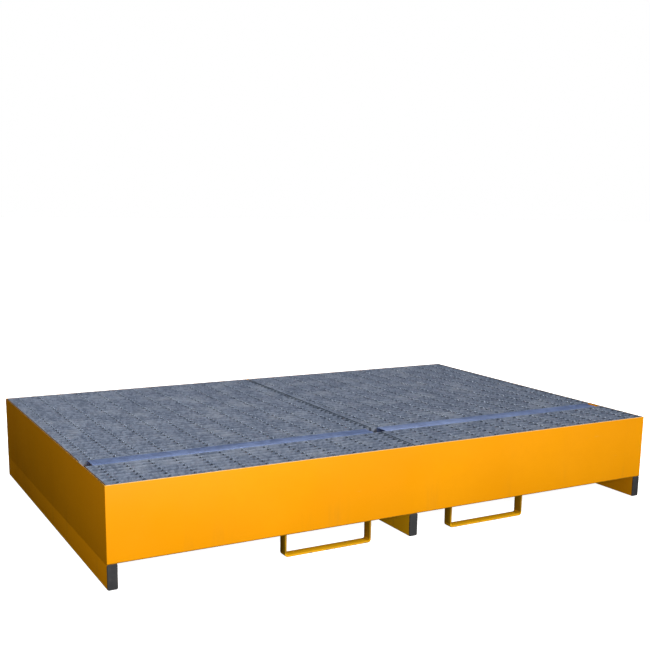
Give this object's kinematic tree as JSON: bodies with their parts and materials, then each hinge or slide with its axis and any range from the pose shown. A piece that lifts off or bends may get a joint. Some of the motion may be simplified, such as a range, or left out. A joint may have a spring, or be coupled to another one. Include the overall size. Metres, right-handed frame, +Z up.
{
  "type": "spill containment pallet",
  "caption": "Painted sheet-steel sump pallet on tubular runners, with fork loops under its long edges and lift-out galvanised deck gratings.",
  "frame": {"origin": "on the ground, under the middle of the pallet", "axes": "+X along the length, -Y towards the front, +Z up"},
  "size_m": [2.68, 1.73, 0.4],
  "materials": {
    "yellow_paint": "semi-gloss orange-yellow paint on sheet steel",
    "galvanised_steel": "hot-dip galvanised, dull blue-grey",
    "black_plastic": "moulded, fine matt grain"
  },
  "bodies": {
    "sump": {"floor_plate": "yellow_paint", "front_wall": "yellow_paint", "rear_wall": "yellow_paint", "left_end_wall": "yellow_paint", "right_end_wall": "yellow_paint", "left_end_ledge": "yellow_paint", "right_end_ledge": "yellow_paint", "front_left_ledge": "yellow_paint", "front_right_ledge": "yellow_paint", "rear_left_ledge": "yellow_paint", "rear_right_ledge": "yellow_paint", "left_bay_support_top": "yellow_paint", "left_bay_support_left_web": "yellow_paint", "left_bay_support_right_web": "yellow_paint", "centre_support_top": "yellow_paint", "centre_support_left_web": "yellow_paint", "centre_support_right_web": "yellow_paint", "right_bay_support_top": "yellow_paint", "right_bay_support_left_web": "yellow_paint", "right_bay_support_right_web": "yellow_paint", "left_cross_beam": "galvanised_steel", "right_cross_beam": "galvanised_steel", "left_runner": "yellow_paint", "centre_runner": "yellow_paint", "right_runner": "yellow_paint", "left_runner_front_cap": "black_plastic", "left_runner_rear_cap": "black_plastic", "centre_runner_front_cap": "black_plastic", "centre_runner_rear_cap": "black_plastic", "right_runner_front_cap": "black_plastic", "right_runner_rear_cap": "black_plastic", "front_left_fork_loop": "yellow_paint", "front_right_fork_loop": "yellow_paint", "rear_left_fork_loop": "yellow_paint", "rear_right_fork_loop": "yellow_paint"},
    "front_left_deck": {"front_left_grating": "galvanised_steel"},
    "front_right_deck": {"front_right_grating": "galvanised_steel"},
    "rear_left_deck": {"rear_left_grating": "galvanised_steel"},
    "rear_right_deck": {"rear_right_grating": "galvanised_steel"}
  },
  "joints": [
    {"name": "front_left_deck_lift", "type": "slide", "parent": "sump", "child": "front_left_deck", "axis": [0, 0, 1], "range_m": [0, 0.25]},
    {"name": "front_right_deck_lift", "type": "slide", "parent": "sump", "child": "front_right_deck", "axis": [0, 0, 1], "range_m": [0, 0.25]},
    {"name": "rear_left_deck_lift", "type": "slide", "parent": "sump", "child": "rear_left_deck", "axis": [0, 0, 1], "range_m": [0, 0.25]},
    {"name": "rear_right_deck_lift", "type": "slide", "parent": "sump", "child": "rear_right_deck", "axis": [0, 0, 1], "range_m": [0, 0.25]}
  ]
}
